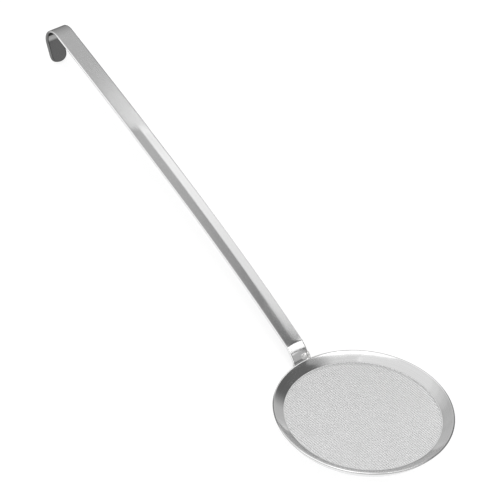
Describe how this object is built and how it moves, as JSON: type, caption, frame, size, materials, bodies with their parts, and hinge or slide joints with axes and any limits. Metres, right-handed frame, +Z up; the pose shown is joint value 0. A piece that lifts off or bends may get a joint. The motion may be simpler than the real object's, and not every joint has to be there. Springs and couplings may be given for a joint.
{
  "type": "skimmer",
  "caption": "Fine-mesh kitchen skimmer: a dished steel rim with a rolled lip and flat woven wire cloth, welded to a long, lightly ridged flat-bar handle that ends in a hanging hook.",
  "frame": {"origin": "middle of the bottom of the box around the skimmer as it lies on a table", "axes": "+X along the handle from the hook to the bowl, +Y across to the left of someone who holds the handle and looks towards the bowl, +Z up from the table"},
  "size_m": [0.5478, 0.1598, 0.0599],
  "materials": {
    "bar_steel": "satin, with a grain along the bar",
    "rim_steel": "bright, spun, with a grain around the ring",
    "clamp_steel": "satin",
    "cloth_wire": "drawn wire",
    "weld_metal": "brushed weld beads"
  },
  "bodies": {
    "root": {"rim_frame": "rim_steel", "clamp_ring": "clamp_steel", "handle_bar": "bar_steel", "warp_wire_01": "cloth_wire", "warp_wire_02": "cloth_wire", "warp_wire_03": "cloth_wire", "warp_wire_04": "cloth_wire", "warp_wire_05": "cloth_wire", "warp_wire_06": "cloth_wire", "warp_wire_07": "cloth_wire", "warp_wire_08": "cloth_wire", "warp_wire_09": "cloth_wire", "warp_wire_10": "cloth_wire", "warp_wire_11": "cloth_wire", "warp_wire_12": "cloth_wire", "warp_wire_13": "cloth_wire", "warp_wire_14": "cloth_wire", "warp_wire_15": "cloth_wire", "warp_wire_16": "cloth_wire", "warp_wire_17": "cloth_wire", "weft_wire_01": "cloth_wire", "weft_wire_02": "cloth_wire", "weft_wire_03": "cloth_wire", "weft_wire_04": "cloth_wire", "weft_wire_05": "cloth_wire", "weft_wire_06": "cloth_wire", "weft_wire_07": "cloth_wire", "weft_wire_08": "cloth_wire", "weft_wire_09": "cloth_wire", "weft_wire_10": "cloth_wire", "weft_wire_11": "cloth_wire", "weft_wire_12": "cloth_wire", "weft_wire_13": "cloth_wire", "weft_wire_14": "cloth_wire", "weft_wire_15": "cloth_wire", "weft_wire_16": "cloth_wire", "weft_wire_17": "cloth_wire", "weld_left": "weld_metal", "weld_right": "weld_metal", "weld_under": "weld_metal"}
  },
  "joints": []
}
